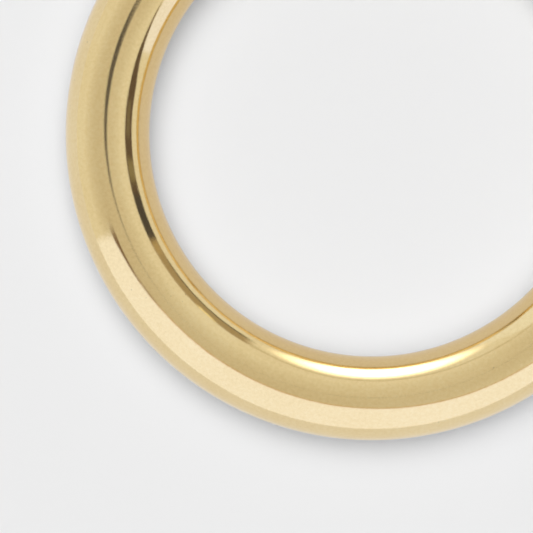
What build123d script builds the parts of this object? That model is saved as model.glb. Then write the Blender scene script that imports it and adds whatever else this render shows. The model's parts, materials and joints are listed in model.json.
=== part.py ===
from build123d import *
from math import acos, atan2, cos, degrees, radians, sin
import os

# Split key ring: a round brass bar bent into a ring, split by a sprung gate that opens inward.
#
# The ring lies flat. The origin is under the ring's centre, at the height of the surface it lies on,
# with +Z up along the ring's axis and +Y through the middle of the gate. Lengths are millimetres.
#
# Five pieces: the ring body with its flat hinge tongue, the gate whose forked end straddles that
# tongue, the rivet they turn on, and the plunger and coil spring inside the gate. The plunger's flat
# end presses on a cam on the tongue. The cam is an involute, so the plunger slides back by the same
# amount for each degree that the gate opens.

# Ring
EYE_DIAMETER = 25.4  # clear inside diameter, one inch
BAR_DIAMETER = 4.8
BAR_RADIUS = BAR_DIAMETER / 2
RING_RADIUS = (EYE_DIAMETER + BAR_DIAMETER) / 2  # to the middle of the bar
INNER_RADIUS = EYE_DIAMETER / 2

# Gate
GATE_HALF_SPAN = 36.0  # degrees each side of +Y, from the middle of the gate to the rivet
GATE_OPENING = 50.0  # degrees that the gate swings inward
SEAM = 0.08  # gap between the gate and the body
RUNNING_GAP = 0.04  # clearance of the rivet in the tongue and the plunger in its bore

# Hinge
RIVET_RADIUS = 0.6
TONGUE_THICKNESS = 1.6
TONGUE_ROOT = 3.6  # from the rivet back into the solid bar
SLOT_THICKNESS = 1.72
SLOT_DEPTH = 2.5  # from the rivet to the bottom of the gate's slot
HEEL_ANGLE = 60.0  # degrees from the body's end of the bar to the seam on the outside
RELIEF_ANGLE = GATE_OPENING + 2.0  # the body is cut back this far on the inside

# Latch: a half lap, with the body's lip outside and the gate's nose inside
LAP_HALF_LENGTH = 1.2
LAP_GAP = 0.03
NOSE_BLUNTING = 0.45  # taken off the point of the nose

# Plunger, spring and the bore that holds them
BORE_TILT = 10.0  # degrees that the bore leans inward, to stay inside the curved bar
BORE_RADIUS = 0.86
BORE_START = 1.5  # from the rivet, inside the slot, so that the bore opens into it
BORE_DEPTH = 9.4  # from the rivet to the flat bottom of the bore
DRILL_POINT = 0.5  # depth of the cone that the drill leaves
CAM_BASE_RADIUS = 0.7  # the plunger travels this far for each radian of the gate
CAM_REACH = 1.5  # from the rivet to the flat end of the cam
CAM_GAP = 0.015
CAM_OVERRUN = 12.0  # degrees that the cam's curve goes on past the gate's opening
CAM_STEPS = 6  # spans in the spline that draws the involute
PLUNGER_RADIUS = BORE_RADIUS - RUNNING_GAP
PLUNGER_HEAD = 1.9
SPIGOT_RADIUS = 0.42
SPIGOT_LENGTH = 1.1
PLUNGER_CHAMFER = 0.06
SPRING_WIRE_RADIUS = 0.16
SPRING_RADIUS = 0.64  # to the middle of the wire
SPRING_TURNS = 11
SPRING_WIRE_SIDES = 12  # the round wire's section is drawn with this many flats

CLEAR = 3 * BAR_DIAMETER  # past every surface that a cut has to pass


def polar(radius, angle):
    """The point at a radius and an angle in degrees in the ring's plane."""
    return Vector(radius * cos(radians(angle)), radius * sin(radians(angle)))


HINGE_ANGLE = 90 + GATE_HALF_SPAN
TANGENT_ANGLE = HINGE_ANGLE - 90  # along the bar at the rivet, towards the gate
BORE_ANGLE = TANGENT_ANGLE - BORE_TILT
RIVET = polar(RING_RADIUS, HINGE_ANGLE)
LATCH_REACH = 2 * RING_RADIUS * sin(radians(GATE_HALF_SPAN))
LIP_REACH = LATCH_REACH - LAP_HALF_LENGTH
NOSE_REACH = LATCH_REACH + LAP_HALF_LENGTH
MIDDLE = Vector(0, 0, BAR_RADIUS)

# Along the bore from beside the rivet, with local Z into the gate and local X towards the inside
bore_plane = Plane(
    origin=RIVET + MIDDLE + polar(CAM_BASE_RADIUS, BORE_ANGLE - 90),
    x_dir=polar(1, BORE_ANGLE - 90),
    z_dir=polar(1, BORE_ANGLE),
)
# The ring's plane seen from the rivet, with local X along the bore and local Y towards the outside
rivet_plane = Plane(origin=RIVET, x_dir=polar(1, BORE_ANGLE), z_dir=(0, 0, 1))


def whole_ring():
    """The full bar ring, before it is cut."""
    with Locations(MIDDLE):
        Torus(RING_RADIUS, BAR_RADIUS)


def sector(start, end, reach):
    """A sector around the rivet, from one angle to another in degrees."""
    middle = (start + end) / 2
    with BuildLine() as outline:
        Line(RIVET, RIVET + polar(reach, start))
        ThreePointArc(
            RIVET + polar(reach, start),
            RIVET + polar(reach, middle),
            RIVET + polar(reach, end),
        )
        Line(RIVET + polar(reach, end), RIVET)
    make_face(outline.edges())


def gate_outline(gap, lap_gap):
    """The gate's plan view, grown by the gaps on the seams that it shares with the body."""
    heel = HINGE_ANGLE + 90 - HEEL_ANGLE + degrees(gap / BAR_RADIUS)
    sector(TANGENT_ANGLE - 90, heel, LIP_REACH + gap)
    sector(TANGENT_ANGLE - 90, degrees(lap_gap / LATCH_REACH), NOSE_REACH + gap)
    with Locations(RIVET):
        Circle(BAR_RADIUS + gap)


with BuildPart() as tongue:
    whole_ring()
    with BuildSketch(rivet_plane.offset(BAR_RADIUS - TONGUE_THICKNESS / 2)):
        shelf = CAM_BASE_RADIUS - PLUNGER_RADIUS - RUNNING_GAP
        cam = [
            Vector(
                (CAM_REACH + CAM_BASE_RADIUS * turn) * cos(turn)
                - CAM_BASE_RADIUS * sin(turn),
                -(CAM_REACH + CAM_BASE_RADIUS * turn) * sin(turn)
                - CAM_BASE_RADIUS * cos(turn),
            )
            for turn in (
                radians(GATE_OPENING + CAM_OVERRUN) * step / CAM_STEPS
                for step in range(CAM_STEPS + 1)
            )
        ]
        with BuildLine():
            Spline(cam)
            Polyline(
                cam[-1],
                (-TONGUE_ROOT, cam[-1].Y - BAR_RADIUS),
                (-TONGUE_ROOT, BAR_DIAMETER),
                (SLOT_DEPTH - SEAM, BAR_DIAMETER),
                (SLOT_DEPTH - SEAM, -shelf),
                (CAM_REACH, -shelf),
                cam[0],
            )
        make_face()
    extrude(amount=TONGUE_THICKNESS, mode=Mode.INTERSECT)

with BuildPart() as ring_body:
    whole_ring()
    with BuildSketch():
        gate_outline(SEAM, LAP_GAP)
        # Room on the inside for the gate's arm when it is open
        relief = TANGENT_ANGLE - 90 - RELIEF_ANGLE
        arm = polar(CLEAR / 2, relief + 90)
        edge = polar(BAR_RADIUS + SEAM, relief)
        with BuildLine():
            Polyline(RIVET, RIVET + edge, RIVET + edge + arm, RIVET + arm, RIVET)
        make_face()
    extrude(amount=BAR_DIAMETER, mode=Mode.SUBTRACT)
    add(tongue.part)
    with Locations(RIVET + MIDDLE):
        Cylinder(RIVET_RADIUS + RUNNING_GAP, BAR_DIAMETER, mode=Mode.SUBTRACT)

ring_body.part.label = "ring_body"

# The point of the nose, where its end meets the inside of the bar
tip_angle = HINGE_ANGLE - degrees(
    acos(
        (RING_RADIUS**2 + INNER_RADIUS**2 - NOSE_REACH**2)
        / (2 * RING_RADIUS * INNER_RADIUS)
    )
)
tip = polar(INNER_RADIUS, tip_angle)
end_angle = degrees(atan2(tip.Y - RIVET.Y, tip.X - RIVET.X))

with BuildPart() as gate:
    whole_ring()
    with BuildSketch():
        gate_outline(0, 0)
        with Locations(tip):
            Rectangle(
                2 * NOSE_BLUNTING,
                BAR_DIAMETER,
                rotation=(tip_angle + end_angle) / 2 + 90,
                mode=Mode.SUBTRACT,
            )
    extrude(amount=BAR_DIAMETER, mode=Mode.INTERSECT)
    # The slot that straddles the tongue
    with BuildSketch(rivet_plane.offset(BAR_RADIUS - SLOT_THICKNESS / 2)):
        with Locations((SLOT_DEPTH - CLEAR / 2, 0)):
            Rectangle(CLEAR, CLEAR)
    extrude(amount=SLOT_THICKNESS, mode=Mode.SUBTRACT)
    with Locations(RIVET + MIDDLE):
        Cylinder(RIVET_RADIUS, BAR_DIAMETER, mode=Mode.SUBTRACT)
    # The bore, with the cone that the drill leaves at its end
    with BuildSketch(Plane(bore_plane.origin, x_dir=bore_plane.z_dir, z_dir=(0, 0, 1))):
        with BuildLine():
            Polyline(
                (BORE_START, 0),
                (BORE_START, BORE_RADIUS),
                (BORE_DEPTH, BORE_RADIUS),
                (BORE_DEPTH, SPRING_RADIUS - SPRING_WIRE_RADIUS),
                (BORE_DEPTH + DRILL_POINT, 0),
                (BORE_START, 0),
            )
        make_face()
    revolve(axis=Axis(bore_plane.origin, bore_plane.z_dir), mode=Mode.SUBTRACT)

gate.part.label = "gate"

with BuildPart() as hinge_pin:
    whole_ring()
    with BuildSketch():
        with Locations(RIVET):
            Circle(RIVET_RADIUS)
    extrude(amount=BAR_DIAMETER, mode=Mode.INTERSECT)

hinge_pin.part.label = "hinge_pin"

with BuildPart() as spring_plunger:
    with BuildSketch(bore_plane.offset(CAM_REACH + CAM_GAP)):
        Circle(PLUNGER_RADIUS)
    extrude(amount=PLUNGER_HEAD)
    with BuildSketch(bore_plane.offset(CAM_REACH + CAM_GAP + PLUNGER_HEAD)):
        Circle(SPIGOT_RADIUS)
    extrude(amount=SPIGOT_LENGTH)
    chamfer(spring_plunger.edges().filter_by(GeomType.CIRCLE), length=PLUNGER_CHAMFER)

spring_plunger.part.label = "spring_plunger"

# The coil runs from the plunger's shoulder to the bottom of the bore, with both ends ground flat
shoulder = CAM_REACH + CAM_GAP + PLUNGER_HEAD
spring_length = BORE_DEPTH - shoulder
with BuildPart() as upright_spring:
    with BuildLine() as coil:
        Helix(spring_length / SPRING_TURNS, spring_length, SPRING_RADIUS)
    with BuildSketch(coil.line ^ 0):
        RegularPolygon(SPRING_WIRE_RADIUS, SPRING_WIRE_SIDES)
    sweep(is_frenet=True)
    with BuildSketch():
        Circle(BORE_RADIUS)
    extrude(amount=spring_length, mode=Mode.INTERSECT)

with BuildPart() as gate_spring:
    with Locations(bore_plane.offset(shoulder)):
        add(upright_spring.part)

gate_spring.part.label = "gate_spring"

os.makedirs("parts", exist_ok=True)
export_step(ring_body.part, "parts/ring_body.step")
export_step(gate.part, "parts/gate.step")
export_step(hinge_pin.part, "parts/hinge_pin.step")
export_step(spring_plunger.part, "parts/spring_plunger.step")
export_step(gate_spring.part, "parts/gate_spring.step")
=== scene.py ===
import json
from math import acos, atan2, cos, degrees, hypot, pi, radians, sin

import bpy
import numpy as np
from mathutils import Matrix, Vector


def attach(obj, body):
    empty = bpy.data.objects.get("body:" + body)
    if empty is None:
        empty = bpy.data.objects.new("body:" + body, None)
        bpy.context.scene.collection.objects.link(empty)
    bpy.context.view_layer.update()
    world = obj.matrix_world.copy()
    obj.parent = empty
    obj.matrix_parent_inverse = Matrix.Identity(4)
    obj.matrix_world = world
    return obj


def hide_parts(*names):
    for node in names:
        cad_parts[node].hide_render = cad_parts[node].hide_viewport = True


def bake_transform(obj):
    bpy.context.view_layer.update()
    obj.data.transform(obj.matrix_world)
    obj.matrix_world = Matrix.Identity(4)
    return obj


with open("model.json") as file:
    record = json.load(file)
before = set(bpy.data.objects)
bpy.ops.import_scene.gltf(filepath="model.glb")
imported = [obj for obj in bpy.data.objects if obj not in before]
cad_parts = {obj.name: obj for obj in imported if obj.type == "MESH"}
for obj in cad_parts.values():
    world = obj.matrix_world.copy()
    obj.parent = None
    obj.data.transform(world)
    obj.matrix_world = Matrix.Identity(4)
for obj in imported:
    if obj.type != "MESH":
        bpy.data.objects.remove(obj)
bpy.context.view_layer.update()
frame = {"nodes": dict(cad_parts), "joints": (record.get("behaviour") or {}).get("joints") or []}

# Lengths are millimetres while the three polished pieces are shaped, and metres from there on.
MM = 0.001

# The ring's own sizes come from where the record puts the rivet: it is in the middle of the bar.
hinge = next(joint for joint in frame["joints"] if joint["name"] == "gate_hinge")
RIVET = np.array(hinge["pos_m"]) / MM
RING_RADIUS = hypot(RIVET[0], RIVET[1])
BAR_RADIUS = RIVET[2]
HINGE_ANGLE = degrees(atan2(RIVET[1], RIVET[0]))
LATCH_ANGLE = 180 - HINGE_ANGLE
INWARD = HINGE_ANGLE - 180  # from the rivet to the ring's centre
LATCH_REACH = 2 * RING_RADIUS * cos(radians(LATCH_ANGLE))

# The hinge and the latch, as in the CAD. Distances called reach or depth are from the rivet.
SEAM = 0.08  # gap between the gate and the body
HEEL_ANGLE = HINGE_ANGLE + 30
LAP_HALF_LENGTH = 1.2
LIP_REACH = LATCH_REACH - LAP_HALF_LENGTH
NOSE_REACH = LATCH_REACH + LAP_HALF_LENGTH
LAP_GAP = 0.03
LAP_START = -20  # degrees: the latch's seams are drawn past both sides of the bar
LAP_END = 20
NOSE_BLUNTING = 0.45
RELIEF_ANGLE = 52
RIVET_RADIUS = 0.6
RIVET_HOLE = 0.64  # radius of the hole in the tongue
TONGUE_HALF = 0.8  # half of the thickness
SLOT_HALF = 0.86
SLOT_DEPTH = 2.5
BORE_ANGLE = HINGE_ANGLE - 100
BORE_OFFSET = 0.7  # from the rivet to the bore's axis, which is also the cam's base radius
BORE_RADIUS = 0.86
BORE_MOUTH = 1.5
BORE_DEPTH = 9.4
DRILL_POINT = (0.5, 0.48, 0.01)  # the cone's length, and its radius at the start and at the end
CAM_REACH = 1.5
CAM_TURN = 62
SHELF = 0.16

# What makes the metal look finished: edges along the seams are rounded over this much
SEAM_ROUNDING = 0.11
RIVET_LINE = 0.012  # the fine line that still shows round the dressed rivet
FINE_STEP = 0.15  # degrees around the ring, at the hinge and the latch
COARSE_STEP = 1.25
SECTION_STEPS = 216
AHEAD = 0.004  # how far to look along the surface for its slope, in radians
SHARP = 25  # degrees between two faces that makes the edge between them sharp
ON_SURFACE = 0.02  # how close a point is to count as part of the bar's polished surface
WEAR_WIDTH = 0.12  # how fast the wear fades away from a seam

# Degrees around the ring that are meshed finely: before and after the latch, and the hinge
FINE_LATCH = (17, 14)
FINE_HINGE = (15, 14)
# Degrees on either side of the hinge and of the latch where an edge can matter
NEAR_HINGE = 16
NEAR_LATCH = 18


# ---------------------------------------------------------------- plan-view outlines


def polar(radius, angle):
    """The plan-view vector at a radius and an angle in degrees."""
    return np.array([radius * cos(radians(angle)), radius * sin(radians(angle))])


def arc(radius, start, end, step=1.5):
    """Points along an arc about the rivet, between two angles in degrees."""
    count = max(2, int(abs(end - start) / step))
    return [RIVET[:2] + polar(radius, a) for a in np.linspace(start, end, count + 1)]


def gate_outline(gap, lap_gap):
    """The gate's plan view, grown by the gaps on the seams that it shares with the body."""
    lap = degrees(lap_gap / LATCH_REACH)
    heel = HEEL_ANGLE + degrees(gap / BAR_RADIUS)
    points = arc(NOSE_REACH + gap, LAP_START, lap, 0.5)
    points += arc(LIP_REACH + gap, lap, LAP_END, 0.5)
    points += [RIVET[:2] + polar(LATCH_REACH, 90), RIVET[:2] + polar(LATCH_REACH, heel)]
    points += arc(BAR_RADIUS + gap, heel, INWARD + 360, 3)
    points += [RIVET[:2] + polar(2.5 * BAR_RADIUS, INWARD)]
    return np.array(points)


def relief_outline():
    """Room on the inside of the body for the gate's arm when it is open."""
    side = INWARD - RELIEF_ANGLE
    edge = polar(BAR_RADIUS + SEAM, side)
    arm = polar(3 * BAR_RADIUS, side + 90)
    return RIVET[:2] + np.array([[0, 0], edge, edge + arm, arm])


def local_outline(points):
    """An outline given from the rivet, with X along the bore and Y towards the outside."""
    along = polar(1, BORE_ANGLE)
    across = polar(1, BORE_ANGLE + 90)
    return np.array([RIVET[:2] + x * along + y * across for x, y in points])


def tongue_outline():
    """The tongue, with the involute cam that moves the plunger as the gate opens."""
    points = []
    for turn in np.radians(np.linspace(0, CAM_TURN, 32)):
        reach = CAM_REACH + BORE_OFFSET * turn
        points.append(
            (
                reach * cos(turn) - BORE_OFFSET * sin(turn),
                -reach * sin(turn) - BORE_OFFSET * cos(turn),
            )
        )
    far = 1.5 * BAR_RADIUS
    points.append((-far, points[-1][1] - BAR_RADIUS))
    points += [(-far, 2 * BAR_RADIUS), (SLOT_DEPTH - SEAM, 2 * BAR_RADIUS)]
    points += [(SLOT_DEPTH - SEAM, SHELF), (CAM_REACH, SHELF)]
    return local_outline(points)[::-1]


def slot_outline():
    """The gate's slot, open past the end of the gate and on both sides."""
    far = 3 * BAR_RADIUS
    return local_outline([(-far, -far), (SLOT_DEPTH, -far), (SLOT_DEPTH, far), (-far, far)])


def nose_outline():
    """The part of the gate's sharp nose tip that is taken off."""
    inner = RING_RADIUS - BAR_RADIUS
    turn = acos((RING_RADIUS**2 + inner**2 - NOSE_REACH**2) / (2 * RING_RADIUS * inner))
    tip_angle = HINGE_ANGLE - degrees(turn)
    tip = polar(inner, tip_angle)
    end_angle = degrees(atan2(tip[1] - RIVET[1], tip[0] - RIVET[0]))
    facing = (tip_angle + end_angle) / 2 + 90
    deep = polar(NOSE_BLUNTING, facing)
    wide = polar(BAR_RADIUS, facing + 90)
    return np.array([tip - deep - wide, tip + deep - wide, tip + deep + wide, tip - deep + wide])


def circle_outline(radius):
    """A circle about the rivet."""
    return np.array(arc(radius, 0, 360, 5)[:-1])


def inset(points, outline):
    """How far plan-view points are inside a closed outline, negative outside it."""
    nearest = np.full(len(points), np.inf)
    inside = np.zeros(len(points), bool)
    for start, end in zip(outline, np.roll(outline, -1, axis=0)):
        along = end - start
        offset = points - start
        share = np.clip(offset @ along / (along @ along), 0, 1)
        gap = offset - share[:, None] * along
        nearest = np.minimum(nearest, (gap * gap).sum(axis=1))
        if start[1] != end[1]:
            level = (start[1] > points[:, 1]) != (end[1] > points[:, 1])
            reach = start[0] + along[0] * offset[:, 1] / along[1]
            inside ^= level & (points[:, 0] < reach)
    return np.where(inside, 1, -1) * np.sqrt(nearest)


# ---------------------------------------------------------------- the bar's surface


def inside_body(points):
    """How far points are from the body's seams, positive in the metal that stays."""
    plan = points[:, :2]
    above = np.abs(points[:, 2] - BAR_RADIUS)
    bar = -np.maximum(inset(plan, gate_outline(SEAM, LAP_GAP)), inset(plan, relief_outline()))
    tongue = np.minimum(inset(plan, tongue_outline()), TONGUE_HALF - above)
    return np.maximum(bar, tongue)


def inside_gate(points):
    """How far points are from the gate's seams, positive in the metal that stays."""
    plan = points[:, :2]
    above = np.abs(points[:, 2] - BAR_RADIUS)
    bar = np.minimum(inset(plan, gate_outline(0, 0)), -inset(plan, nose_outline()))
    return np.minimum(bar, np.maximum(above - SLOT_HALF, -inset(plan, slot_outline())))


def from_rivet(points):
    """How far points are from the rivet's axis."""
    return np.hypot(points[:, 0] - RIVET[0], points[:, 1] - RIVET[1])


def rounded(depth_inside, radius):
    """How far a rounded edge drops, at a distance inside the edge."""
    missing = radius - np.clip(depth_inside, 0, radius)
    return radius - np.sqrt(radius**2 - missing**2)


def body_drop(points):
    """How far the body's surface is below the full round bar."""
    return rounded(inside_body(points), SEAM_ROUNDING)


def gate_drop(points):
    """How far the gate's surface is below the full round bar."""
    return rounded(inside_gate(points), SEAM_ROUNDING)


def on_bar(around, across, radius):
    """Points at an angle around the ring and an angle across its bar, both in radians."""
    reach = RING_RADIUS + radius * np.cos(across)
    return np.stack(
        [reach * np.cos(around), reach * np.sin(around), BAR_RADIUS + radius * np.sin(across)],
        axis=1,
    )


def near_seams(around):
    """Which points are close enough to the hinge or the latch for an edge to matter."""
    turn = np.degrees(around) % 360
    return (np.abs(turn - HINGE_ANGLE) < NEAR_HINGE) | (np.abs(turn - LATCH_ANGLE) < NEAR_LATCH)


def surface(around, across, drop):
    """Points on the bar's surface, with its edges rounded."""
    radius = np.full(len(around), BAR_RADIUS)
    near = near_seams(around)
    radius[near] -= drop(on_bar(around[near], across[near], BAR_RADIUS))
    return on_bar(around, across, radius)


def new_mesh(name, points, faces):
    """A mesh object in the scene, in the units of its points."""
    mesh = bpy.data.meshes.new(name)
    mesh.from_pydata([tuple(p) for p in points], [], faces)
    mesh.validate()
    made = bpy.data.objects.new(name, mesh)
    bpy.context.scene.collection.objects.link(made)
    return made


def whole_ring(name, drop):
    """The full ring, fine at the hinge and the latch and coarser elsewhere."""
    stops = [
        LATCH_ANGLE - FINE_LATCH[0],
        LATCH_ANGLE + FINE_LATCH[1],
        HINGE_ANGLE - FINE_HINGE[0],
        HINGE_ANGLE + FINE_HINGE[1],
        LATCH_ANGLE - FINE_LATCH[0] + 360,
    ]
    steps = [FINE_STEP, COARSE_STEP, FINE_STEP, COARSE_STEP]
    turns = []
    for start, end, step in zip(stops, stops[1:], steps):
        turns.append(np.linspace(start, end, round((end - start) / step), endpoint=False))
    around = np.radians(np.concatenate(turns))
    across = np.linspace(0, 2 * pi, SECTION_STEPS, endpoint=False)
    rows, columns = len(around), len(across)
    points = surface(np.repeat(around, columns), np.tile(across, rows), drop)
    row = np.arange(rows)[:, None]
    column = np.arange(columns)[None, :]
    corners = [
        row * columns + column,
        ((row + 1) % rows) * columns + column,
        ((row + 1) % rows) * columns + (column + 1) % columns,
        row * columns + (column + 1) % columns,
    ]
    faces = np.stack([c.ravel() for c in corners], axis=1).tolist()
    return new_mesh(name, points, faces)


def prism(outline, low, high):
    """An upright solid with a plan-view outline."""
    area = np.cross(outline, np.roll(outline, -1, axis=0)).sum()
    if area < 0:
        outline = outline[::-1]
    count = len(outline)
    points = [(x, y, low) for x, y in outline] + [(x, y, high) for x, y in outline]
    faces = [list(range(count))[::-1], list(range(count, 2 * count))]
    faces += [[i, (i + 1) % count, (i + 1) % count + count, i + count] for i in range(count)]
    return new_mesh("cutter", points, faces)


def lathe(profile, start, direction, steps=64):
    """A solid turned about an axis, from a profile of (distance along, radius)."""
    axis = Vector(direction).normalized()
    side = axis.orthogonal().normalized()
    other = axis.cross(side)
    points = []
    for along, radius in profile:
        for i in range(steps):
            turn = 2 * pi * i / steps
            spoke = radius * (cos(turn) * side + sin(turn) * other)
            points.append(Vector(start) + along * axis + spoke)
    last = (len(profile) - 1) * steps
    faces = [list(range(steps))[::-1], list(range(last, last + steps))]
    for ring in range(0, last, steps):
        for i in range(steps):
            j = (i + 1) % steps
            faces.append([ring + i, ring + j, ring + steps + j, ring + steps + i])
    return new_mesh("cutter", points, faces)


def combine(target, cutter, operation):
    """Cuts, joins or trims the target with a cutter, which is used up."""
    modifier = target.modifiers.new("combine", "BOOLEAN")
    modifier.object = cutter
    modifier.operation = operation
    modifier.solver = "MANIFOLD"
    bpy.context.view_layer.update()
    shaped = target.evaluated_get(bpy.context.evaluated_depsgraph_get())
    target.data = bpy.data.meshes.new_from_object(shaped)
    target.modifiers.clear()
    bpy.data.objects.remove(cutter)


def read(collection, name, size, kind=np.float32):
    """One property of everything in a mesh collection, as an array."""
    values = np.empty(len(collection) * size, kind)
    collection.foreach_get(name, values)
    return values.reshape(-1, size) if size > 1 else values


def finish_metal(piece, drop, inside):
    """Gives the bar's surface its true slope, marks the edges that wear, and goes to metres."""
    mesh = piece.data
    mesh.shade_smooth()
    mesh.set_sharp_from_angle(angle=radians(SHARP))
    points = read(mesh.vertices, "co", 3).astype(float)
    around = np.arctan2(points[:, 1], points[:, 0])
    reach = np.hypot(points[:, 0], points[:, 1]) - RING_RADIUS
    across = np.arctan2(points[:, 2] - BAR_RADIUS, reach)

    def slope(turn, roll):
        ahead = surface(around + turn, across + roll, drop)
        behind = surface(around - turn, across - roll, drop)
        return ahead - behind

    slopes = np.cross(slope(AHEAD * BAR_RADIUS / RING_RADIUS, 0), slope(0, AHEAD))
    slopes /= np.linalg.norm(slopes, axis=1)[:, None]
    off_surface = np.linalg.norm(points - surface(around, across, drop), axis=1)

    centres = read(mesh.polygons, "center", 3).astype(float)
    facing = read(mesh.polygons, "normal", 3).astype(float)
    sizes = read(mesh.polygons, "loop_total", 1, np.int32)
    turn = np.arctan2(centres[:, 1], centres[:, 0])
    roll = np.arctan2(
        centres[:, 2] - BAR_RADIUS, np.hypot(centres[:, 0], centres[:, 1]) - RING_RADIUS
    )
    bar = np.linalg.norm(centres - surface(turn, roll, drop), axis=1) < ON_SURFACE
    corners = read(mesh.loops, "vertex_index", 1, np.int32)
    normals = read(mesh.corner_normals, "vector", 3).astype(float)
    own = slopes[corners]
    agrees = (own * np.repeat(facing, sizes, axis=0)).sum(axis=1) > 0.5
    use = np.repeat(bar, sizes) & agrees & (off_surface[corners] < ON_SURFACE)
    normals[use] = own[use]
    mesh.normals_split_custom_set(normals.tolist())

    wear = mesh.attributes.new("edge_wear", "FLOAT", "POINT")
    worn = np.zeros(len(points))
    near = near_seams(around)
    worn[near] = np.exp(-np.abs(inside(points[near])) / WEAR_WIDTH)
    wear.data.foreach_set("value", worn.astype(np.float32))
    mesh.transform(((MM, 0, 0, 0), (0, MM, 0, 0), (0, 0, MM, 0), (0, 0, 0, 1)))


# ---------------------------------------------------------------- the three polished pieces

TALL = (-BAR_RADIUS, 3 * BAR_RADIUS)
BORE_START = np.append(polar(BORE_OFFSET, BORE_ANGLE - 90), 0) + RIVET
BORE_WAY = np.append(polar(1, BORE_ANGLE), 0)


def make_body():
    """The ring body, with the tongue left standing in the cut for the gate."""
    cut = prism(gate_outline(SEAM, LAP_GAP), *TALL)
    combine(cut, prism(relief_outline(), *TALL), "UNION")
    spare = (BAR_RADIUS - TONGUE_HALF, BAR_RADIUS + TONGUE_HALF)
    combine(cut, prism(tongue_outline(), *spare), "DIFFERENCE")
    body = whole_ring("ring_body_polished", body_drop)
    combine(body, cut, "DIFFERENCE")
    combine(body, prism(circle_outline(RIVET_HOLE), *TALL), "DIFFERENCE")
    finish_metal(body, body_drop, inside_body)
    return body


def make_gate():
    """The gate, with its slot, rivet hole and the bore for the plunger and spring."""
    gate = whole_ring("gate_polished", gate_drop)
    combine(gate, prism(gate_outline(0, 0), *TALL), "INTERSECT")
    combine(gate, prism(nose_outline(), *TALL), "DIFFERENCE")
    slot = (BAR_RADIUS - SLOT_HALF, BAR_RADIUS + SLOT_HALF)
    combine(gate, prism(slot_outline(), *slot), "DIFFERENCE")
    combine(gate, prism(circle_outline(RIVET_RADIUS), *TALL), "DIFFERENCE")
    cone, wide, narrow = DRILL_POINT
    profile = [(BORE_MOUTH, BORE_RADIUS), (BORE_DEPTH, BORE_RADIUS)]
    profile += [(BORE_DEPTH, wide), (BORE_DEPTH + cone, narrow)]
    combine(gate, lathe(profile, BORE_START, BORE_WAY), "DIFFERENCE")
    finish_metal(gate, gate_drop, inside_gate)
    return gate


def make_rivet():
    """The rivet, its ends dressed flush with the round of the bar."""
    rivet = whole_ring("rivet_polished", gate_drop)
    combine(rivet, prism(circle_outline(RIVET_RADIUS - RIVET_LINE), *TALL), "INTERSECT")
    finish_metal(rivet, gate_drop, lambda points: RIVET_RADIUS - from_rivet(points))
    return rivet


# ---------------------------------------------------------------- materials


class Nodes:
    """Adds shader nodes to a material or world and joins them up."""

    def __init__(self, owner):
        owner.use_nodes = True
        self.tree = owner.node_tree
        self.tree.nodes.clear()

    def add(self, kind, inputs=None, **settings):
        node = self.tree.nodes.new(kind)
        for name, value in settings.items():
            setattr(node, name, value)
        for name, value in (inputs or {}).items():
            if isinstance(value, bpy.types.NodeSocket):
                self.tree.links.new(value, node.inputs[name])
            else:
                node.inputs[name].default_value = value
        return node

    def maths(self, operation, first, second=0.0):
        return self.add("ShaderNodeMath", {0: first, 1: second}, operation=operation).outputs[0]

    def mix(self, share, first, second):
        node = self.add("ShaderNodeMix", {0: share, 6: first, 7: second}, data_type="RGBA")
        return node.outputs[2]

    def ramp(self, value, stops):
        node = self.add("ShaderNodeValToRGB", {0: value})
        elements = node.color_ramp.elements
        while len(elements) < len(stops):
            elements.new(0.5)
        for element, (place, colour) in zip(elements, stops):
            element.position = place
            element.color = (*colour, 1)
        return node.outputs[0]

    def span(self, value, low, high, to_low=0.0, to_high=1.0, fade="LINEAR"):
        ends = {"From Min": low, "From Max": high, "To Min": to_low, "To Max": to_high}
        return self.add(
            "ShaderNodeMapRange", {"Value": value, **ends}, interpolation_type=fade
        ).outputs[0]


def bar_coordinates(nodes):
    """The place in metres, and the millimetres along the ring and round its bar."""
    place = nodes.add("ShaderNodeTexCoord").outputs["Object"]
    parts = nodes.add("ShaderNodeSeparateXYZ", {0: place})
    x, y, z = parts.outputs
    around = nodes.maths("ARCTAN2", y, x)
    along = nodes.maths("MULTIPLY", around, RING_RADIUS)
    flat = nodes.add("ShaderNodeCombineXYZ", {0: x, 1: y})
    reach = nodes.add("ShaderNodeVectorMath", {0: flat.outputs[0]}, operation="LENGTH")
    side = nodes.maths("SUBTRACT", reach.outputs["Value"], RING_RADIUS * MM)
    height = nodes.maths("SUBTRACT", z, BAR_RADIUS * MM)
    roll = nodes.maths("MULTIPLY", nodes.maths("ARCTAN2", height, side), BAR_RADIUS)
    return place, nodes.add("ShaderNodeCombineXYZ", {0: along, 1: roll}).outputs[0]


def noise(nodes, place, scale, detail=2.0, roughness=0.5, stretch=None, distortion=0.0):
    """A noise value from 0 to 1."""
    if stretch:
        place = nodes.add("ShaderNodeVectorMath", {0: place, 1: stretch}, operation="MULTIPLY")
        place = place.outputs[0]
    return nodes.add(
        "ShaderNodeTexNoise",
        {
            "Vector": place,
            "Scale": scale,
            "Detail": detail,
            "Roughness": roughness,
            "Distortion": distortion,
        },
    ).outputs[0]


def finish_shader(nodes, colour, rough, bump):
    """Ends a metal's nodes."""
    shader = nodes.add(
        "ShaderNodeBsdfPrincipled",
        {"Base Color": colour, "Roughness": rough, "Metallic": 1.0, "Normal": bump.outputs[0]},
    )
    nodes.add("ShaderNodeOutputMaterial", {0: shader.outputs[0]})


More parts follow.
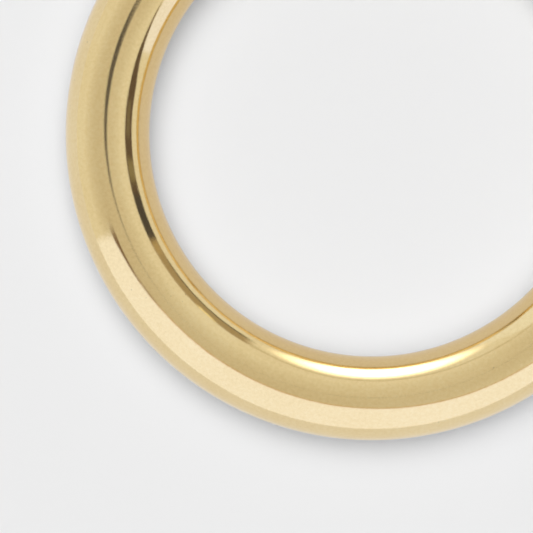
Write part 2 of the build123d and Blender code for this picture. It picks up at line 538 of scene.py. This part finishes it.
def polished_brass():
    """Buffed gold-toned brass: nearly a mirror, with fine buffing lines, specks and worn edges."""
    material = bpy.data.materials.new("polished_brass")
    nodes = Nodes(material)
    place, along = bar_coordinates(nodes)
    clouds = nodes.maths("MULTIPLY", noise(nodes, place, 160, 3), 0.45)
    mottling = nodes.maths("MULTIPLY", noise(nodes, place, 5200, 3, 0.6), 0.55)
    buffing = noise(nodes, along, 1.0, 4, 0.65, stretch=(1.1, 24, 1))
    hairlines = noise(nodes, along, 1.0, 2, 0.5, stretch=(0.5, 70, 1), distortion=0.4)
    grain = noise(nodes, place, 9000, 2)
    specks = nodes.add(
        "ShaderNodeTexVoronoi", {"Vector": place, "Scale": 1900.0, "Randomness": 1.0}
    ).outputs["Distance"]
    chosen = noise(nodes, place, 700, 1)
    dot = nodes.maths(
        "MULTIPLY", nodes.span(specks, 0.10, 0.04), nodes.span(chosen, 0.60, 0.66)
    )
    wear = nodes.add("ShaderNodeAttribute", attribute_name="edge_wear").outputs["Fac"]
    worn = nodes.maths("MULTIPLY", wear, nodes.span(noise(nodes, place, 2500, 3), 0.35, 0.65))
    tone = nodes.ramp(
        nodes.maths("ADD", clouds, mottling),
        [
            (0.34, (0.886, 0.692, 0.348)),
            (0.50, (0.925, 0.735, 0.385)),
            (0.66, (0.95, 0.775, 0.428)),
        ],
    )
    dusty = nodes.mix(dot, tone, (0.42, 0.31, 0.17, 1))
    colour = nodes.mix(nodes.maths("MULTIPLY", worn, 0.45), dusty, (0.96, 0.84, 0.58, 1))
    sheen = nodes.span(buffing, 0.3, 0.75, 0.055, 0.105)
    rough = nodes.maths("ADD", sheen, nodes.maths("MULTIPLY", dot, 0.30))
    rough = nodes.maths("ADD", rough, nodes.maths("MULTIPLY", worn, 0.16))
    scratches = nodes.maths("MULTIPLY", hairlines, 0.55)
    relief = nodes.maths("ADD", scratches, nodes.maths("MULTIPLY", grain, 0.35))
    relief = nodes.maths("SUBTRACT", relief, nodes.maths("MULTIPLY", dot, 0.8))
    bump = nodes.add("ShaderNodeBump", {"Height": relief, "Strength": 0.06, "Distance": 0.00002})
    finish_shader(nodes, colour, rough, bump)
    return material


def spring_steel():
    """Drawn and tempered steel: grey with straw-coloured patches and fine draw marks."""
    material = bpy.data.materials.new("spring_steel")
    nodes = Nodes(material)
    place = nodes.add("ShaderNodeTexCoord").outputs["Object"]
    clouds = noise(nodes, place, 900, 3)
    marks = noise(nodes, place, 12000, 3, 0.6, stretch=(1, 1, 0.2))
    colour = nodes.ramp(
        clouds, [(0.3, (0.46, 0.45, 0.44)), (0.55, (0.56, 0.56, 0.57)), (0.8, (0.60, 0.56, 0.48))]
    )
    rough = nodes.span(marks, 0.3, 0.7, 0.22, 0.40)
    bump = nodes.add("ShaderNodeBump", {"Height": marks, "Strength": 0.15, "Distance": 0.00001})
    finish_shader(nodes, colour, rough, bump)
    return material


def pale_board():
    """The matt pale board that the ring lies on. The metal sees it with painted shade, darker
    inside the ring, and with a painted glow that lifts the ring's shadow.
    """
    material = bpy.data.materials.new("pale_board")
    nodes = Nodes(material)
    place = nodes.add("ShaderNodeTexCoord").outputs["Object"]
    tooth = noise(nodes, place, 4000, 2)
    bump = nodes.add("ShaderNodeBump", {"Height": tooth, "Strength": 0.03, "Distance": 0.00002})
    out = nodes.add("ShaderNodeVectorMath", {0: place}, operation="LENGTH").outputs["Value"]
    outside = nodes.span(out, INSIDE_OUT[0] * MM, INSIDE_OUT[1] * MM)
    # Painted shade: the board as the metal sees it, darker inside the ring than outside
    reflected_painted_shade = nodes.mix(outside, BOARD_INSIDE_PAINTED_SHADE, BOARD_OUTSIDE_PAINTED_SHADE)
    rays = nodes.add("ShaderNodeLightPath").outputs
    glossy = rays["Is Glossy Ray"]
    bounced = nodes.maths("GREATER_THAN", rays["Diffuse Depth"], 0.5)
    thrown = nodes.maths("MULTIPLY", glossy, bounced)
    colour = nodes.mix(glossy, (BOARD, BOARD, BOARD, 1), reflected_painted_shade)
    # Painted light: when the metal lights the board, the board glows with this colour in the metal
    painted_glow_colour = nodes.mix(thrown, reflected_painted_shade, BOARD_PAINTED_BOUNCE)
    board = nodes.add("ShaderNodeBsdfDiffuse", {"Color": colour, "Normal": bump.outputs[0]})
    # Painted light: an even glow that the board shows only in the metal's reflection, lifting the
    # ring's shadow there
    painted_even_light = nodes.add("ShaderNodeEmission", {"Color": painted_glow_colour, "Strength": BOARD_LIGHT})
    share = nodes.maths("MAXIMUM", nodes.maths("MULTIPLY", glossy, BOARD_PAINTED_LIGHT_SHARE), thrown)
    shader = nodes.add("ShaderNodeMixShader", {0: share, 1: board.outputs[0], 2: painted_even_light.outputs[0]})
    nodes.add("ShaderNodeOutputMaterial", {0: shader.outputs[0]})
    return material


brass = polished_brass()
steel = spring_steel()

for build, body, node in (
    (make_body, "ring", "ring_body"),
    (make_gate, "gate", "gate"),
    (make_rivet, "gate", "hinge_pin"),
):
    piece = build()
    piece.data.materials.clear()
    piece.data.materials.append(brass)
    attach(piece, body)
    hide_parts(node)

plunger = frame["nodes"]["spring_plunger"]
plunger.data.materials.clear()
plunger.data.materials.append(steel)

# The spring sits between the plunger's shoulder and the bottom of the bore: a fixed copy of the CAD
# coil, in spring steel
coil = bpy.data.objects.new("gate_spring_coil", frame["nodes"]["gate_spring"].data.copy())
coil.matrix_world = frame["nodes"]["gate_spring"].matrix_world.copy()
bpy.context.scene.collection.objects.link(coil)
coil.data.materials.clear()
coil.data.materials.append(steel)
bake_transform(coil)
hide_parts("gate_spring")


# ---------------------------------------------------------------- the studio

# Light on the board: a soft lamp high up behind the ring, one overhead, even fill, and the low
# windows all round
LAMP_LIGHT = 3.73
LAMP_WAY = (108, 73)  # azimuth from +X and elevation, in degrees
LAMP_REACH = 29  # degrees from its middle to where it has faded out
OVERHEAD_LIGHT = 2.62
OVERHEAD_REACH = 36
FILL_LIGHT = 0.13
LOW_LIGHT = 1.6
LOW_REACH = 12  # degrees above the horizon
BACKGROUND = 0.855

# The board, and the painted shade that it shows in the metal: darker inside the ring, where the
# ring shades it, than outside it
BOARD = 0.8
BOARD_INSIDE_PAINTED_SHADE = (0.630, 0.586, 0.555, 1)
BOARD_OUTSIDE_PAINTED_SHADE = (0.735, 0.735, 0.785, 1)
# Painted light: how bright the board's glow is in the metal's reflection, and how much of that
# reflection is glow
BOARD_LIGHT = 1.07
BOARD_PAINTED_LIGHT_SHARE = 0.6  # how much of the ring's shadow is lost in its reflection
# Painted light: the colour that the board glows with in the metal when the metal lights the board,
# standing in for light that the brass throws back on it; this keeps that light neutral
BOARD_PAINTED_BOUNCE = (0.80, 1.00, 1.88, 1)
INSIDE_OUT = (12, 19)  # millimetres from the ring's centre

# What the metal sees: a white ceiling, a little darker over the camera
CEILING = (0.785, 0.772, 0.742)
CEILING_SHADE = (0.600, 0.562, 0.500)
SHADE_WAY = (205, 75)
SHADE_EDGE = 52
SHADE_MIDDLE = 8
BOUNCE_TINT = (0.40, 0.50, 0.96)  # keeps the light that the brass throws on the board neutral
TENT_RADIUS = 1.5
LAYER = 0.02  # how much nearer each layer of cards is, so that the right one is in front

# The cards round the ring: name, upper edge and lower edge as azimuths and elevations, colour and
# layer
CARDS = (
    (
        "wall",
        [(199, 52), (208, 60), (222, 66), (238, 67.5), (268, 64.5), (294, 57), (318, 46)],
        [(199.7, 0), (208, 0), (222, 0), (238, 0), (268, 0), (294, 0), (318, 0)],
        (0.99, 1.035, 1.26),
        0,
    ),
    (
        "wall_frame",
        [(206, 61), (222, 68), (238, 69.7), (268, 66.7), (294, 59), (318, 48)],
        [(206, 57), (222, 65.5), (238, 67.2), (268, 64.2), (294, 56.7), (318, 45.7)],
        (0.58, 0.41, 0.24),
        1,
    ),
    (
        "wall_corner",
        [(197, 63), (201, 62), (208, 63), (217, 67)],
        [(198, 51), (201, 54), (208, 59), (217, 65)],
        (0.20, 0.13, 0.10),
        2,
    ),
    (
        "boom",
        [(136, 75.5), (131, 79.5), (119, 83.5), (77, 86.6)],
        [(153, 77.5), (160, 83.5), (155, 86.5), (82, 88.2)],
        (0.045, 0.04, 0.05),
        1,
    ),
    (
        "gap",
        [(-27, 40.4), (-19, 39), (-8, 38.4), (17, 38)],
        [(-27, 39), (-19, 32), (-8, 18), (17, 17)],
        (0.125, 0.095, 0.08),
        0,
    ),
    ("gap_pale", [(-4, 34), (4, 34)], [(-4, 25), (4, 24)], (0.20, 0.17, 0.13), 1),
    ("gap_post", [(9, 36), (14, 36)], [(9, 19), (14, 19)], (0.26, 0.23, 0.15), 1),
    ("gap_dark", [(17, 38), (27.5, 37.5)], [(17, 16), (27.5, 16)], (0.08, 0.075, 0.08), 1),
    (
        "gap_olive",
        [(27, 37.5), (43, 35), (59, 31.5)],
        [(27, 16.5), (43, 15), (59, 13)],
        (0.39, 0.32, 0.22),
        0,
    ),
    ("gap_gold", [(28, 34), (31, 34)], [(28, 21), (31, 21)], (0.46, 0.37, 0.22), 1),
    ("gap_spark", [(45, 34.5), (50, 33.5)], [(45.5, 30), (50, 30.5)], (0.95, 0.86, 0.55), 1),
    ("gap_line", [(33, 19), (59, 16.5)], [(33, 16), (59, 12.8)], (0.15, 0.14, 0.12), 1),
    (
        "lamp_frame",
        [(59, 29), (67, 33.5), (82, 39.5), (98, 40.2), (115, 41.5), (127, 44.5)],
        [(59, 26), (67, 30.5), (82, 37), (98, 37.6), (115, 38.5), (127, 42)],
        (0.58, 0.53, 0.44),
        0,
    ),
    (
        "left_wall",
        [(-32, 40), (-26, 36), (-16, 28.5)],
        [(-32, 0), (-26, 0), (-16.5, 0)],
        (0.93, 0.97, 1.22),
        0,
    ),
    (
        "right_wall",
        [(114.5, 8), (125, 40), (132, 41)],
        [(113, 0), (125, 0), (132, 0)],
        (0.87, 0.89, 0.93),
        0,
    ),
)
STRIP_STEPS = 8

# The lamp that the metal sees: where its middle is, how wide and high it is in degrees, what share
# of it is evenly bright, and how bright that is
SOFT_LAMP = {
    "azimuth": 89,
    "elevation": 14,
    "width": 60,
    "height": 48,
    "middle": 0.15,
    "strength": 2.9,
}
LAMP_LAYER = 4

FLOOR_HALF = 4.0  # metres

# The camera looks straight down with a long lens. The part of the ring that it sees is given in
# the ring's outside diameters and radii.
LENS = 200
SENSOR = 36
NEAREST = 0.01  # metres
FARTHEST = 20
VIEW_WIDTH = 0.8699  # outside diameters
VIEW_MIDDLE = (-0.3440, -0.4326)  # outside radii from the ring's centre


def way(azimuth, elevation):
    """The direction at an azimuth from +X and an elevation, in degrees."""
    return Vector((*(polar(1, azimuth) * cos(radians(elevation))), sin(radians(elevation))))


def for_polish_only(nodes, shader):
    """Lets only reflections in the polished metal see a card, not the light that it throws on."""
    bounces = nodes.add("ShaderNodeLightPath").outputs["Diffuse Depth"]
    clear = nodes.add("ShaderNodeBsdfTransparent").outputs[0]
    hidden = nodes.maths("GREATER_THAN", bounces, 0.5)
    seen = nodes.add("ShaderNodeMixShader", {0: hidden, 1: shader, 2: clear})
    nodes.add("ShaderNodeOutputMaterial", {0: seen.outputs[0]})


def staged(name, points, faces, material=None):
    """A piece of the studio that only the metal sees."""
    made = new_mesh(name, points, faces)
    if material:
        made.data.materials.append(material)
    made.visible_camera = False
    made.visible_diffuse = False
    made.visible_shadow = False
    return made


def card(name, upper, lower, colour, layer):
    """A curved card, straight between the corners along its two long edges."""
    material = bpy.data.materials.new(name)
    nodes = Nodes(material)
    for_polish_only(nodes, nodes.add("ShaderNodeEmission", {"Color": (*colour, 1)}).outputs[0])
    edges = []
    for corners in (lower, upper):
        line = [way(*corners[0])]
        for start, end in zip(corners, corners[1:]):
            for i in range(STRIP_STEPS):
                line.append(way(*start).slerp(way(*end), (i + 1) / STRIP_STEPS))
        edges.append(line)
    points = []
    for low, high in zip(*edges):
        for j in range(STRIP_STEPS + 1):
            points.append(low.slerp(high, j / STRIP_STEPS) * (TENT_RADIUS - layer * LAYER))
    rows = STRIP_STEPS + 1
    faces = []
    for i in range(len(edges[0]) - 1):
        for j in range(STRIP_STEPS):
            first = i * rows + j
            faces.append([first, first + rows, first + rows + 1, first + 1])
    return staged(name, points, faces, material)


def soft_lamp(name, azimuth, elevation, width, height, middle, strength):
    """A lamp behind a diffuser, which fades from its bright middle to its edge."""
    toward = way(azimuth, elevation)
    across = Vector((0, 0, 1)).cross(toward).normalized()
    up = toward.cross(across).normalized()
    across *= TENT_RADIUS * radians(width / 2)
    up *= TENT_RADIUS * radians(height / 2)
    corners = [(-1, -1), (1, -1), (1, 1), (-1, 1)]
    out = TENT_RADIUS - LAMP_LAYER * LAYER
    points = [out * toward + x * across + y * up for x, y in corners]
    made = staged(name, points, [[0, 1, 2, 3]])
    layer = made.data.uv_layers.new(name="spread")
    for loop, corner in zip(layer.data, corners):
        loop.uv = corner
    material = bpy.data.materials.new(name)
    nodes = Nodes(material)
    spread = nodes.add("ShaderNodeUVMap", uv_map="spread").outputs[0]
    off = nodes.add("ShaderNodeVectorMath", {0: spread}, operation="LENGTH").outputs["Value"]
    fade = nodes.span(off, 1.0, middle, fade="SMOOTHERSTEP")
    lamp = nodes.add(
        "ShaderNodeEmission",
        {"Color": (1.0, 0.99, 0.96, 1), "Strength": nodes.maths("MULTIPLY", fade, strength)},
    )
    clear = nodes.add("ShaderNodeBsdfTransparent")
    both = nodes.add("ShaderNodeAddShader", {0: lamp.outputs[0], 1: clear.outputs[0]})
    for_polish_only(nodes, both.outputs[0])
    made.data.materials.append(material)


def make_world():
    """The light on the board, and the white ceiling as the metal sees it."""
    world = bpy.data.worlds.new("studio")
    bpy.context.scene.world = world
    nodes = Nodes(world)
    looking = nodes.add("ShaderNodeTexCoord").outputs["Generated"]
    rays = nodes.add("ShaderNodeLightPath").outputs

    def spot(toward, edge, middle, fade="SMOOTHSTEP"):
        near = nodes.add(
            "ShaderNodeVectorMath", {0: looking, 1: way(*toward)}, operation="DOT_PRODUCT"
        ).outputs["Value"]
        return nodes.span(near, cos(radians(edge)), cos(radians(middle)), fade=fade)

    lamp = nodes.maths("MULTIPLY", spot(LAMP_WAY, LAMP_REACH, 0), LAMP_LIGHT)
    overhead = nodes.maths("MULTIPLY", spot((0, 90), OVERHEAD_REACH, 0), OVERHEAD_LIGHT)
    height = nodes.add("ShaderNodeSeparateXYZ", {0: looking}).outputs["Z"]
    low = nodes.span(height, sin(radians(LOW_REACH)), 0, 0, LOW_LIGHT, "SMOOTHSTEP")
    light = nodes.maths("ADD", lamp, overhead)
    light = nodes.maths("ADD", light, nodes.maths("ADD", low, FILL_LIGHT))
    plain = nodes.mix(rays["Is Camera Ray"], light, (BACKGROUND, BACKGROUND, BACKGROUND, 1))
    shade = spot(SHADE_WAY, SHADE_EDGE, SHADE_MIDDLE, "LINEAR")
    ceiling = nodes.mix(shade, (*CEILING, 1), (*CEILING_SHADE, 1))
    tinted = nodes.add(
        "ShaderNodeVectorMath", {0: light, 1: BOUNCE_TINT}, operation="MULTIPLY"
    ).outputs[0]
    bounced = nodes.maths("GREATER_THAN", rays["Diffuse Depth"], 0.5)
    ceiling = nodes.mix(bounced, ceiling, tinted)
    seen = nodes.mix(rays["Is Glossy Ray"], plain, ceiling)
    shader = nodes.add("ShaderNodeBackground", {"Color": seen})
    nodes.add("ShaderNodeOutputWorld", {0: shader.outputs[0]})


def make_floor():
    """A pale board, far wider than any view of the ring."""
    corners = [(FLOOR_HALF * x, FLOOR_HALF * y, 0) for x, y in ((-1, -1), (1, -1), (1, 1), (-1, 1))]
    floor = new_mesh("floor", corners, [[0, 1, 2, 3]])
    floor.data.materials.append(pale_board())


def make_camera():
    """A long lens looking straight down, on the lower left of the ring."""
    outer = RING_RADIUS + BAR_RADIUS
    width = VIEW_WIDTH * 2 * outer * MM
    data = bpy.data.cameras.new("camera")
    data.lens = LENS
    data.sensor_width = SENSOR
    data.clip_start = NEAREST
    data.clip_end = FARTHEST
    camera = bpy.data.objects.new("camera", data)
    distance = width * data.lens / data.sensor_width
    x, y = VIEW_MIDDLE
    camera.location = (x * outer * MM, y * outer * MM, BAR_RADIUS * MM + distance)
    bpy.context.scene.collection.objects.link(camera)
    bpy.context.scene.camera = camera


make_world()
make_floor()
for name, upper, lower, colour, layer in CARDS:
    card(name, upper, lower, colour, layer)
soft_lamp("lamp", **SOFT_LAMP)
make_camera()
bpy.context.scene.view_settings.view_transform = "Standard"
